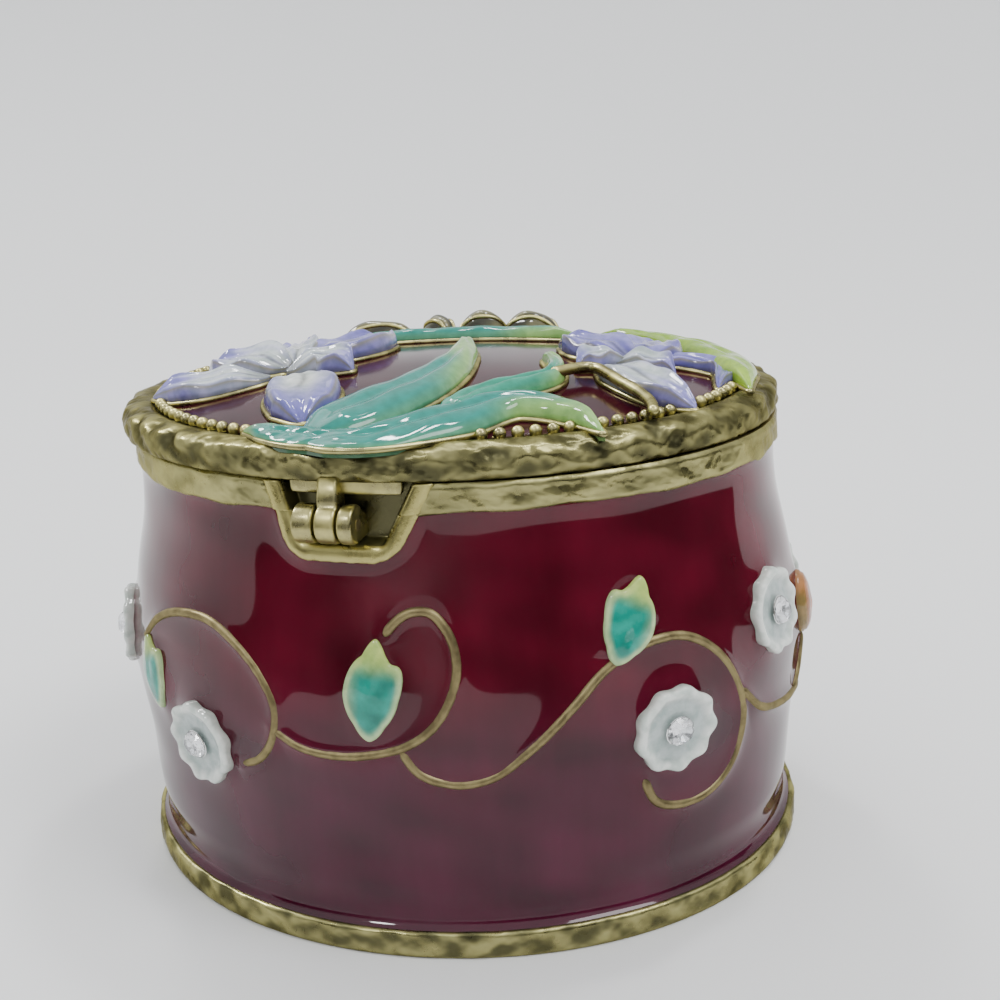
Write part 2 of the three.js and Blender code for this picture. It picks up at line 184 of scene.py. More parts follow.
# Around an oval: the profile's spreads and heights repeated at every bearing
def turned(profile, count, slip=0.0, columns=None):
    profile = np.asarray(profile, float)
    if columns:
        profile = smoothPath(profile, columns)
    turn = np.linspace(0.0, 2 * np.pi, count, endpoint=False)[:, None]
    spread = np.broadcast_to(profile[:, 0], (count, len(profile)))
    height = np.broadcast_to(profile[:, 1], (count, len(profile)))
    spots = ovalPoint(turn, spread, height)
    spots[..., 0] += slip
    return spots


# A disc that shrinks from a spread oval to its middle: each ring is a share of the oval
def ovalDisc(spread, shares, heights, count, slip=0.0):
    turn = np.linspace(0.0, 2 * np.pi, count, endpoint=False)[:, None]
    shares = np.asarray(shares, float)
    x = (shared["halfLength"] + spread) * np.sin(turn) * shares + slip
    y = -(shared["halfWidth"] + spread) * np.cos(turn) * shares
    return np.stack(np.broadcast_arrays(x, y, np.asarray(heights, float)), axis=-1)


# A round or flattened wire along a path: the section circle is stretched across and along the outward side
def wire(path, outward, halfAcross, halfProud, sides=10):
    ahead = np.gradient(path, axis=0)
    ahead /= np.linalg.norm(ahead, axis=1)[:, None]
    side = np.cross(ahead, outward)
    side /= np.linalg.norm(side, axis=1)[:, None]
    top = np.cross(side, ahead)
    angle = np.linspace(0, 2 * np.pi, sides, endpoint=False)
    ends = np.minimum(np.arange(len(path)), np.arange(len(path))[::-1])
    close = np.sqrt(np.clip(ends / 2.0, 0.0, 1.0))[:, None, None]
    across = (np.cos(angle) * halfAcross)[None, :, None] * side[:, None, :] * close
    proud = (np.sin(angle) * halfProud)[None, :, None] * top[:, None, :] * close
    return path[:, None, :] + across + proud


# Sets a node's sockets to constant values
def setInputs(node, values):
    for socket, value in values.items():
        node.inputs[socket].default_value = value
    return node


# Node graph: a Principled surface whose colour is the tint attribute times a base, varied by noise
def makeMaterial(name, base, metallic=0.0, roughness=0.3, tinted=False, darker=None, grain=400.0,
                 stretch=(1, 1, 1), roughTo=None, bump=0.0, bumpGrain=900.0, transmission=0.0, ior=1.5):
    material = bpy.data.materials.new(name)
    material.use_nodes = True
    nodes = material.node_tree.nodes
    links = material.node_tree.links
    shader = setInputs(nodes["Principled BSDF"], {
        "Base Color": (*base, 1), "Metallic": metallic, "Roughness": roughness, "IOR": ior,
        "Transmission Weight": transmission})
    if metallic > 0:
        setInputs(shader, {"Specular Tint": (0.55, 0.52, 0.42, 1)})
    place = nodes.new("ShaderNodeTexCoord")
    mapping = setInputs(nodes.new("ShaderNodeMapping"), {"Scale": stretch})
    links.new(place.outputs["Object"], mapping.inputs["Vector"])
    noise = setInputs(nodes.new("ShaderNodeTexNoise"), {"Scale": grain, "Detail": 5.0})
    links.new(mapping.outputs["Vector"], noise.inputs["Vector"])
    colour = None
    if tinted:
        tint = nodes.new("ShaderNodeAttribute")
        tint.attribute_name = "tint"
        colour = tint.outputs["Color"]
    if darker is not None:
        mix = nodes.new("ShaderNodeMix")
        mix.data_type = "RGBA"
        mix.blend_type = "MULTIPLY" if tinted else "MIX"
        ramp = nodes.new("ShaderNodeValToRGB")
        ramp.color_ramp.elements[0].position = 0.38
        ramp.color_ramp.elements[1].position = 0.62
        links.new(noise.outputs["Fac"], ramp.inputs["Fac"])
        if tinted:
            ramp.color_ramp.elements[0].color = (*darker, 1)
            mix.inputs["Factor"].default_value = 1.0
            links.new(colour, mix.inputs["A"])
            links.new(ramp.outputs["Color"], mix.inputs["B"])
        else:
            links.new(ramp.outputs["Color"], mix.inputs["Factor"])
            mix.inputs["A"].default_value = (*darker, 1)
            mix.inputs["B"].default_value = (*base, 1)
        colour = mix.outputs["Result"]
    if colour is not None:
        links.new(colour, shader.inputs["Base Color"])
    if roughTo is not None:
        span = setInputs(nodes.new("ShaderNodeMapRange"), {
            "From Min": 0.35, "From Max": 0.65, "To Min": roughness, "To Max": roughTo})
        links.new(noise.outputs["Fac"], span.inputs["Value"])
        links.new(span.outputs["Result"], shader.inputs["Roughness"])
    if bump:
        fine = setInputs(nodes.new("ShaderNodeTexNoise"), {"Scale": bumpGrain, "Detail": 4.0})
        links.new(place.outputs["Object"], fine.inputs["Vector"])
        raised = setInputs(nodes.new("ShaderNodeBump"), {"Strength": bump, "Distance": 0.0002})
        links.new(fine.outputs["Fac"], raised.inputs["Height"])
        links.new(raised.outputs["Normal"], shader.inputs["Normal"])
    return material


redEnamel = makeMaterial("redEnamel", (0.065, 0.004, 0.016), roughness=0.05, tinted=True, ior=1.43,
                         darker=(0.7, 0.62, 0.65), grain=150.0, stretch=(1, 1, 0.2))
lidEnamel = makeMaterial("lidEnamel", (0.045, 0.006, 0.012), roughness=0.12, ior=1.22,
                         darker=(0.03, 0.003, 0.008), grain=260.0)
rimBrass = makeMaterial("rimBrass", (0.5, 0.44, 0.24), metallic=0.92, roughness=0.22, tinted=True,
                        darker=(0.8, 0.79, 0.76), grain=500.0, roughTo=0.4, bump=0.12, bumpGrain=2600.0)
plainBrass = makeMaterial("plainBrass", (0.5, 0.42, 0.21), metallic=1.0, roughness=0.34,
                          darker=(0.33, 0.27, 0.13), grain=220.0, roughTo=0.48)
wireBrass = makeMaterial("wireBrass", (0.28, 0.23, 0.11), metallic=0.8, roughness=0.36,
                         darker=(0.17, 0.135, 0.065), grain=900.0, roughTo=0.5)
hingeBrass = makeMaterial("hingeBrass", (0.52, 0.47, 0.19), metallic=0.95, roughness=0.22,
                          darker=(0.27, 0.245, 0.12), grain=500.0, roughTo=0.38)
glazed = makeMaterial("glazed", (0.5, 0.5, 0.5), roughness=0.07, tinted=True, ior=1.46,
                      darker=(0.72, 0.78, 0.76), grain=1000.0)
stoneGlass = makeMaterial("stoneGlass", (0.97, 0.98, 1.0), roughness=0.0, transmission=0.94, ior=1.6)
foil = makeMaterial("foil", (0.93, 0.94, 0.94), metallic=1.0, roughness=0.2)
print("materials made")

vines = {"halfAcross": 0.42, "halfProud": 0.46, "step": 0.35, "mmPerDegree": 0.53, "paths": [
    [(-20, 15.8), (-16.1, 16.8), (-12.8, 19.3), (-12.3, 22), (-14.6, 24.3), (-19, 26.4), (-24.6, 27.8),
     (-32.6, 27.8), (-41.2, 26.1), (-46.8, 23.4)],
    [(-12.8, 20), (-8.6, 18.8), (-2.2, 18.4), (4.7, 19), (7, 19.4), (11.5, 21), (14.5, 23.5), (15.7, 26.3),
     (14.5, 29), (12.1, 30.4), (9.2, 30.4), (6.9, 29.6), (5.2, 28.4)],
    [(7, 19.4), (9.6, 17.2), (14.5, 16.2), (19.5, 16.6), (25.4, 18.9), (31.4, 21.9), (37.5, 24.9),
     (43.2, 26.2), (50.6, 26.2), (57.2, 24), (61.3, 20.7), (63.2, 17.1), (61.6, 13.5), (56.8, 11.5),
     (50.3, 11.1), (45.5, 12), (42.9, 14.6)],
    [(62, 20), (68.7, 17), (76.2, 15.8), (85.6, 15), (96, 14.4), (107, 16.2), (112, 19)],
    [(85.6, 15), (91, 16.4), (93.5, 19.8)]]}


# Vine lines on the wall: control bearings become lengths along the oval, are smoothed, then turned back
def vineLine(points, turn):
    points = np.asarray(points, float) * [vines["mmPerDegree"], 1.0]
    length = np.linalg.norm(np.diff(points, axis=0), axis=1).sum()
    line = smoothPath(points, int(length / vines["step"]))
    return np.radians(line[:, 0] / vines["mmPerDegree"] + turn), line[:, 1]


vineLines = [vineLine(points, turn) for turn in sprayTurns for points in vines["paths"]]
floretSpots = [(bearing + turn, height) for turn in sprayTurns
               for bearing, height in [(-66, 21.6), (-28.4, 16.7), (48, 18.6), (73.6, 25.2)]]
leafSpots = [(bearing + turn, *rest) for turn in sprayTurns for bearing, *rest in
             [(3.4, 24.1, 8.2, 4.7, -4), (41.6, 28.3, 7.2, 4.6, -28), (-42.4, 21, 6.6, 4.4, 24)]]
budSpots = [(bearing + turn, *rest) for turn in sprayTurns for bearing, *rest in [(93.5, 22.4, 6, 4.4, 0)]]


# Places a flat relief on the wall: across goes around the oval, along goes up, lift stands out
def onWall(bearing, height, across, along, lift, lean=0.0):
    angle = np.radians(lean)
    sideways = across * np.cos(angle) - along * np.sin(angle)
    upward = along * np.cos(angle) + across * np.sin(angle)
    turn = np.radians(bearing)
    pace = np.hypot((shared["halfLength"] + 1.5) * np.cos(turn), (shared["halfWidth"] + 1.5) * np.sin(turn))
    level = height + upward
    return wallPoint(turn + sideways / pace, np.clip(level, 3.0, 38.0), lift)


notch = {"topHalf": 5.6, "footLeft": 4.1, "footRight": 3.0, "foot": 35.6, "depth": 1.5, "border": 1.5,
         "proud": 0.4, "corner": 0.3}


# The hinge notch: a taper that is wider at the top; the value is the distance outside its edge
def notchEdge(x, z):
    share = (z - notch["foot"]) / (shared["parting"] - notch["foot"])
    footHalf = np.where(x < 0, notch["footLeft"], notch["footRight"])
    sides = (np.abs(x) - footHalf - (notch["topHalf"] - footHalf) * share) * 0.92
    low = notch["foot"] - z
    soft = notch["corner"]
    corner = np.hypot(np.maximum(sides + soft, 0), np.maximum(low + soft, 0)) - soft
    return np.where((sides > -soft) & (low > -soft), corner, np.maximum(sides, low))


enamel = {"around": 900, "up": 190, "low": 2.25, "high": 38.3, "pool": 0.3, "reach": 0.75, "wave": 0.035,
          "floretReach": 3.6, "leafShare": 0.46, "leafPace": 30.0, "bandFoot": 38.1, "far": 9.0,
          "blotch": 0.15, "upperTint": [0.074, 0.003, 0.011], "floorReflectionTint": [0.056, 0.004, 0.018],
          "poolTint": [0.08, 0.004, 0.013]}


# The enamel coat: the wall profile plus a shallow wave,
# pooled up against the metal by an exponential of the distance to it
def enamelWall():
    turn = np.linspace(0, 2 * np.pi, enamel["around"], endpoint=False)[:, None]
    height = np.linspace(enamel["low"], enamel["high"], enamel["up"])[None, :]
    base = wallPoint(turn, height, 0.0)
    metal = np.concatenate([wallPoint(line, level, 0.0) for line, level in vineLines]).astype(np.float32)
    flat = base.reshape(-1, 3).astype(np.float32)
    nearest = np.full(len(flat), enamel["far"], np.float32)
    for part in np.array_split(np.arange(len(flat)), 60):
        gap = ((flat[part, None, :] - metal[None, :, :]) ** 2).sum(-1)
        nearest[part] = np.sqrt(gap.min(axis=1)) - vines["halfAcross"]
    distance = np.minimum(nearest.reshape(base.shape[:2]), np.full(base.shape[:2], enamel["far"]))
    for bearing, level in floretSpots:
        spot = wallPoint(np.radians(bearing), level, 0.0)
        distance = np.minimum(distance, np.linalg.norm(base - spot, axis=-1) - enamel["floretReach"])
    for bearing, level, length, width, lean in leafSpots + budSpots:
        across = ((turn - np.radians(bearing) + np.pi) % (2 * np.pi) - np.pi) * enamel["leafPace"]
        along = height - level
        sway = np.radians(lean)
        sideways = across * np.cos(sway) + along * np.sin(sway)
        upward = along * np.cos(sway) - across * np.sin(sway)
        outside = np.hypot(sideways / width, upward / length) - enamel["leafShare"]
        distance = np.minimum(distance, outside * width)
    distance = np.minimum(distance, enamel["bandFoot"] - height + 0 * turn)
    facing = base[..., 1] < 0
    border = np.where(facing, notchEdge(base[..., 0], base[..., 2]) - notch["border"], enamel["far"])
    distance = np.minimum(distance, border)
    pool = enamel["pool"] * np.exp(-np.maximum(distance, 0) / enamel["reach"])
    wave = enamel["wave"] * ripple(turn, height, 5, 14, 16.0)
    points = wallPoint(turn, height, pool + wave)
    deep = np.exp(-np.maximum(distance, 0) / 1.6)
    # Painted reflection: toward the foot the wall is darker red and bluer, standing in for the pale floor
    # mirrored in the glaze.
    low = mixTint(np.array(enamel["upperTint"]), enamel["floorReflectionTint"], ease(height, 26.0, 16.0) + 0 * turn)
    tint = mixTint(low, enamel["poolTint"], 0.4 * deep)
    tint = tint * (1 + enamel["blotch"] * np.clip(ripple(turn, height, 8, 22, 9.0), -1.5, 1.5))[..., None]

    # The faces that stay: all but those within the notch and its border
    def outsideNotch(middle):
        return ~((notchEdge(middle[:, 0], middle[:, 2]) < notch["border"] - 0.6) & (middle[:, 1] < 0))

    return {"points": points, "tint": tint, "wrapRows": True, "keep": outsideNotch}


wallPiece = addPiece("enamelWall", [enamelWall()], redEnamel, "box")
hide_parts("box_body")
print("enamel wall made")

metalTints = {"dark": [0.115, 0.109, 0.052], "bright": [0.42, 0.39, 0.165]}


# Hammered metal: waves of two sizes, brighter where they stand up
def hammered(turn, along, seed, size):
    coarse = ripple(turn, along, seed, 60, 3.4, 60)
    fine = ripple(turn, along, seed + 1, 200, 1.2, 90)
    return size * (0.78 * coarse + 0.22 * fine)


# Dark metal in the hollows, bright metal on the tops
def hammeredTint(relief, size):
    return mixTint(np.array(metalTints["dark"]), metalTints["bright"], ease(relief / size, -1.3, 1.3))


foot = {"bumps": 0.05, "underTint": [0.3, 0.26, 0.13],
        "profile": [(1.3, 2.28), (1.66, 2.36), (1.88, 2.2), (1.98, 1.85), (2.02, 1.2), (2.0, 0.5),
                    (1.85, 0.08)]}
rimBand = {"profile": [(-0.75, 38.0), (-0.2, 38.05), (0.02, 38.3), (0.1, 38.9), (0.1, 39.7), (0.08, 40.35),
                       (-0.12, 40.6)], "bumps": 0.055, "lowerEdge": 0.25, "litBrass": [0.44, 0.41, 0.18]}


# The foot band and the underside that it runs into: a standing ring round a shallow hollow
def footGrids():
    band = smoothPath(foot["profile"], 24)
    turn = np.linspace(0, 2 * np.pi, 1000, endpoint=False)[:, None]
    relief = hammered(turn, band[:, 1], 11, foot["bumps"])
    relief = relief * np.sin(np.linspace(0, np.pi, 24)) ** 0.5
    points = ovalPoint(turn, band[:, 0] + relief, np.broadcast_to(band[:, 1], relief.shape))
    shares = np.concatenate([[1, 0.99], np.linspace(0.94, 0.915, 6), np.linspace(0.8, 0, 8)])
    hollow = np.where(shares > 0.995, 0.08, 0.3 * ease(0.945 - shares, 0.0, 0.03))
    under = ovalDisc(foot["profile"][-1][0], shares, hollow, 240)
    return [{"points": points, "tint": hammeredTint(relief, foot["bumps"]), "wrapRows": True},
            {"points": under, "tint": np.array(foot["underTint"]), "wrapRows": True}]


# The band's faces that stay: all but those within the notch border on the hinge side
def clearOfNotch(middle):
    inside = notchEdge(middle[:, 0], middle[:, 2]) < notch["border"] - 0.3
    return ~(inside & (middle[:, 1] < -20) & (middle[:, 2] > 33))


# The rim band outside, rolling over the mouth edge; its lower edge wanders a little
def rimGrid():
    band = smoothPath(rimBand["profile"], 30)
    turn = np.linspace(0, 2 * np.pi, 1000, endpoint=False)[:, None]
    relief = hammered(turn, band[:, 1], 21, rimBand["bumps"])
    share = np.linspace(0, 1, 30)
    relief = relief * np.sin(share * np.pi) ** 0.5
    drop = rimBand["lowerEdge"] * ripple(turn, 0.0 * turn, 23, 30, 5.0) * (1 - share) ** 2
    height = band[:, 1] + drop
    points = ovalPoint(turn, band[:, 0] + relief, height)
    # Half of the band's tint is a bright brass: this evens out the hammered tones and lightens the band as
    # painted light.
    tint = mixTint(hammeredTint(relief, rimBand["bumps"]), rimBand["litBrass"], np.full(relief.shape, 0.5))
    return {"points": points, "tint": tint, "wrapRows": True, "keep": clearOfNotch}


bandPiece = addPiece("footAndRim", footGrids() + [rimGrid()], rimBrass, "box")
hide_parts("box_body")

cup = {"floor": 2.5,
       "profile": [(-0.12, 40.6), (-1.7, 40.6), (-2.0, 40.3), (-2.0, 38), (-1.5, 33), (-0.9, 29), (-0.1, 21),
                   (-0.6, 14), (-1.0, 6), (-1.6, 3.4), (-3.3, 2.55)]}


# Inside of the cup: the turned inner wall, then a floor disc
def cupGrids():
    inner = turned(cup["profile"], 240, columns=60)
    spread, low = cup["profile"][-1]
    floor = ovalDisc(spread, np.linspace(1, 0, 14), np.full(14, cup["floor"]), 240)
    floor[:, 0, 2] = low
    return [{"points": inner, "wrapRows": True, "keep": lambda middle: ~(
                (np.abs(middle[:, 0]) < 6.9) & (middle[:, 1] < -20) & (middle[:, 2] > 40.45))},
            {"points": floor, "wrapRows": True}]


cupPiece = addPiece("cupInside", cupGrids(), plainBrass, "box", inward=True)
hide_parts("box_body")


plate = {"bumps": 0.035, "borderTint": [0.53, 0.475, 0.18], "recessShadeTint": [0.1, 0.094, 0.05]}


# Hinge plate: a height field over the hinge wall, sunk inside the notch,
# with a rounded border around it, and flush beyond
def hingePlate():
    x = np.linspace(-8.4, 8.4, 260)[:, None]
    z = np.linspace(31.8, shared["parting"], 150)[None, :]
    edge = notchEdge(x, z)
    half = notch["border"] / 2
    roll = np.sqrt(np.clip(1 - ((edge - half) / half) ** 2, 0, 1))
    inBorder = (edge > 0) & (edge < notch["border"])
    spread = np.where(edge <= 0, -notch["depth"] * ease(-edge, 0.0, 0.35), notch["proud"] * roll)
    beyond = np.where(z > 38.2, 0.05, wallSpread(np.minimum(z, 38.2)) - 0.5)
    base = np.where(z > 38.2, 0.0, np.minimum(wallSpread(np.minimum(z, 38.2)) + 0.1, 0.3))
    spread = np.where(edge <= 0, spread, np.where(inBorder, base + spread, beyond))
    relief = hammered(x * 0.12, z, 31, plate["bumps"]) * ease(edge, 0.8, 1.8)
    turn = np.arcsin(x / (shared["halfLength"] + spread))
    points = ovalPoint(turn, spread + relief, z)
    lid = points[:, -1:, :].copy()
    lid[:, 0, 1] = -np.sqrt(1 - (lid[:, 0, 0] / (shared["halfLength"] - 2)) ** 2) * (shared["halfWidth"] - 2)
    tint = hammeredTint(relief, plate["bumps"])
    tint = mixTint(tint, plate["borderTint"], 0.75 * inBorder)
    # Painted shade: the sunk floor of the notch is darkened as if shadowed by the notch walls.
    tint = mixTint(tint, plate["recessShadeTint"], 0.9 * ease(-edge, 0.0, 0.5))
    tint = np.concatenate([tint, tint[:, -1:]], axis=1)
    return {"points": np.concatenate([points, lid], axis=1), "tint": tint,
            "keep": lambda middle: notchEdge(middle[:, 0], middle[:, 2]) < notch["border"] + 0.02}


platePiece = addPiece("hingePlate", [hingePlate()], rimBrass, "box")
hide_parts("box_body")

hinge = {"y": -28.0, "z": 37.5, "radius": 1.6, "left": (-3.84, -2.1), "lid": (-1.9, -0.2),
         "right": (0.0, 1.24)}


# A bar along X with an outline in Y and Z,
# which shrinks toward its middle at both ends and so rounds them
def roundedBar(span, outline, rounding=0.28):
    outline = np.asarray(outline, float)
    middle = outline.mean(axis=0)
    angle = np.linspace(0, np.pi / 2, 6)
    inset = rounding * (1 - np.sin(angle))
    at = rounding * (1 - np.cos(angle))
    radius = np.linalg.norm(outline - middle, axis=1).mean()
    places = np.concatenate([[span[0]], span[0] + at, span[1] - at[::-1], [span[1]]])
    scales = np.concatenate([[0.0], 1 - inset / radius, 1 - inset[::-1] / radius, [0.0]])
    ring = middle + (outline - middle) * scales[:, None, None]
    x = np.broadcast_to(places[:, None, None], ring.shape[:2] + (1,))
    return np.concatenate([x, ring], axis=-1)


# A barrel with a strap: the round outline on one side runs on to a far corner pair
def strapOutline(corners, low, high):
    angle = np.radians(np.linspace(low, high, 30))
    arc = hinge["radius"] * np.stack([np.cos(angle), np.sin(angle)], -1) + [hinge["y"], hinge["z"]]
    return np.concatenate([arc, np.asarray(corners, float)])


# The two outer knuckles: barrels whose web runs back into the wall
def knuckleGrids():
    web = strapOutline([(-25.6, 36.1), (-25.6, 37.8)], 30, 290)
    return [{"points": roundedBar(hinge[side], web), "wrapColumns": True,
             "heart": (sum(hinge[side]) / 2, hinge["y"], hinge["z"])} for side in ("left", "right")]


knucklePiece = addPiece("knuckles", knuckleGrids(), hingeBrass, "box")
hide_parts("box_body")
print("metal bands and hinge made")


# The vine: wires laid on the wall lines, their thickness wandering a little
def vineGrids():
    grids = []
    for index, (line, level) in enumerate(vineLines):
        path = wallPoint(line, level, 0.1)
        outward = wallPoint(line, level, 1.0) - wallPoint(line, level, 0.0)
        path = path + outward * 0.02 * ripple(np.arange(len(line)) * 0.2, 0.0, index, 9, 4.0)[:, None]
        grids.append({"points": wire(path, outward, vines["halfAcross"], vines["halfProud"], 12),
                      "wrapColumns": True})
    return grids


vinePiece = addPiece("vineWires", vineGrids(), wireBrass, "box")
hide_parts("box_body")

leafStyle = {"body": [0.012, 0.25, 0.19], "pale": [0.43, 0.56, 0.28], "tip": [0.47, 0.57, 0.12], "swell": 0.6,
             "edge": [(0, -1), (0.5, -0.66), (0.92, -0.12), (1.04, 0.3), (0.95, 0.52), (0.6, 0.56),
                      (0.42, 0.72), (0.08, 1.05), (-0.38, 0.68), (-0.85, 0.33), (-0.98, -0.08),
                      (-0.55, -0.66)]}
budStyle = {"body": [0.33, 0.08, 0.018], "pale": [0.26, 0.17, 0.06], "tip": [0.4, 0.15, 0.045], "swell": 1.5,
            "edge": [(0, -1), (0.7, -0.7), (1, 0), (0.7, 0.7), (0, 1), (-0.7, 0.7), (-1, 0), (-0.7, -0.7)]}


# Distance from the leaf's middle to its edge at each angle: the corners' distances, joined and softened
def leafReach(angle, corners, flip):
    corners = np.asarray(corners, float) * [-1 if flip else 1, 1]
    bearing = np.arctan2(corners[:, 0], -corners[:, 1])
    reach = np.hypot(corners[:, 0], corners[:, 1])
    soft = np.linspace(-0.09, 0.09, 7)
    return np.mean([np.interp(angle + shift, bearing, reach, period=2 * np.pi) for shift in soft], axis=0)


# Leaves and buds on the wall: the edge shrunk ring by ring, a raised border and a swelling middle
def wallLeafGrids(spots, style):
    grids = []
    angle = np.linspace(0, 2 * np.pi, 96, endpoint=False)[:, None]
    ring = np.concatenate([[1.0, 1.02, 1.0, 0.96], np.linspace(0.91, 0.0, 16)])[None, :]
    border = np.concatenate([[-0.6, 0.3, 0.55, 0.62], np.zeros(16)])[None, :]
    for index, (bearing, height, length, width, lean) in enumerate(spots):
        flip = index % 3 == 1
        reach = leafReach(angle, style["edge"], flip)
        across = 0.5 * width * reach * np.sin(angle) * ring
        along = -0.5 * length * reach * np.cos(angle) * ring
        swell = 0.48 + style["swell"] * np.sqrt(np.clip(1 - ring**2, 0, 1)) * 0.6
        ripples = 0.06 * np.cos(across * 2.6 + along * 1.1 + index) * np.cos(along * 1.9 - across * 1.4)
        lift = np.where(ring > 0.95, border, swell + ripples * (1 - ring))
        points = onWall(bearing, height, across, along, lift, lean)
        # The pale tone is the leaf's own border colour; one side of each leaf, mirrored on flipped leaves, is
        # also drawn pale as painted light.
        lit = across / width * (-1 if flip else 1)
        edge = np.clip(ease(ring, 0.74, 0.97) + 0.5 * ease(-lit, 0.15, 0.45), 0, 1)
        bend = across * 1.7 + 1.4 * np.cos(along * 1.2 + index)
        patch = 0.5 + 0.5 * np.cos(bend) * np.cos(along * 1.4 - across * 0.9)
        tint = mixTint(np.array(style["body"]) * (0.7 + 0.55 * patch)[..., None], style["pale"], edge)
        tint = mixTint(tint, style["tip"], 0.8 * ease(along / length, 0.12, 0.36))
        grids.append({"points": points, "tint": tint, "wrapRows": True})
    return grids


leafPiece = addPiece("wallLeaves", wallLeafGrids(leafSpots, leafStyle) + wallLeafGrids(budSpots, budStyle),
                     glazed, "box")
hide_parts("box_body")

floret = {"radius": 3.8, "lobes": 9, "dish": [0.45, 0.5, 0.49], "rim": [0.72, 0.74, 0.7],
          "side": [0.5, 0.5, 0.46]}


# Florets: a dish with a scalloped lip; rings rise from the flat seat to the lip and roll over to the wall
def floretGrids():
    angle = np.linspace(0, 2 * np.pi, 180, endpoint=False)[:, None]
    lobe = 0.5 + 0.5 * np.cos(angle * floret["lobes"])
    share = np.concatenate([[0.95, 1.0, 1.01, 0.99, 0.95], np.linspace(0.9, 0.42, 14), [0.36, 0.2, 0.0]])
    share = share[None, :]
    inner = np.linspace(0, 1, 14)
    dish = 1.22 - 0.5 * ease(inner, 0.0, 0.55)
    lift = np.concatenate([[-0.5, 0.35, 0.8, 1.1, 1.22], dish, [0.66, 0.64, 0.64]])[None, :]
    scallop = 1 - 0.075 * (1 - lobe) * ease(share, 0.55, 0.9)
    radius = floret["radius"] * share * scallop
    height = lift - 0.16 * (1 - lobe) * ease(share, 0.6, 0.95) * (share < 0.995)
    outside = np.concatenate([[1, 1, 0.8, 0.3], np.zeros(18)])[None, :] + 0 * angle
    grids = []
    for index, (bearing, level) in enumerate(floretSpots):
        spin = 0.3 * index
        points = onWall(bearing, level, radius * np.cos(angle + spin), radius * np.sin(angle + spin), height)
        tint = mixTint(np.array(floret["dish"]), floret["rim"], ease(share, 0.62, 0.86) + 0 * angle)
        tint = mixTint(tint, floret["side"], outside)
        grids.append({"points": points, "tint": tint, "wrapRows": True})
    return grids


floretPiece = addPiece("florets", floretGrids(), glazed, "box")
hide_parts("box_body")

stone = {"radius": 1.25, "rows": [(0.0, 0.72), (0.3, 0.72), (0.98, 1.12), (1.0, 1.2), (0.8, 1.52),
                                  (0.56, 1.78), (0.0, 1.78)]}


# Stones: rings of sixteen corners, alternate ones pulled in on the crown, so that flat faces meet in kites
def stoneGrids(back):
    angle = np.linspace(0, 2 * np.pi, 16, endpoint=False)[:, None]
    share, lift = np.array(stone["rows"]).T
    odd = (np.arange(16) % 2)[:, None]
    radius = stone["radius"] * share * (1 - 0.07 * odd * (share < 0.9))
    height = lift + 0.06 * odd * ((share < 0.9) & (share > 0.7))
    if back:
        radius = stone["radius"] * np.array([1.02, 0.97, 0.3, 0.0]) * np.ones((16, 1))
        height = np.array([1.0, 1.04, 0.66, 0.64]) + 0 * radius
    return [{"points": onWall(bearing, level, radius * np.cos(angle), radius * np.sin(angle), height),
             "wrapRows": True, "heart": wallPoint(np.radians(bearing), level, 1.2 if not back else 0.0)}
            for bearing, level in floretSpots]


stonePiece = addPiece("stones", stoneGrids(False), stoneGlass, "box", smooth=False)
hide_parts(*[f"crystal_{number}" for number in range(1, 9)])
addPiece("stoneFoils", stoneGrids(True), foil, "box", smooth=False)
print("florets and stones made")

# One blade of the lid's relief: its middle line and half widths in mm, its rise over the relief, its colour,
# the share of its length where the tip colour starts, and how far its two edges curl up
def blade(axis, half, ridge, colour="", tip=0.8, curl=(0, 0)):
    return {"axis": axis, "half": half, "ridge": ridge, "colour": colour, "tip": tip, "curl": curl}


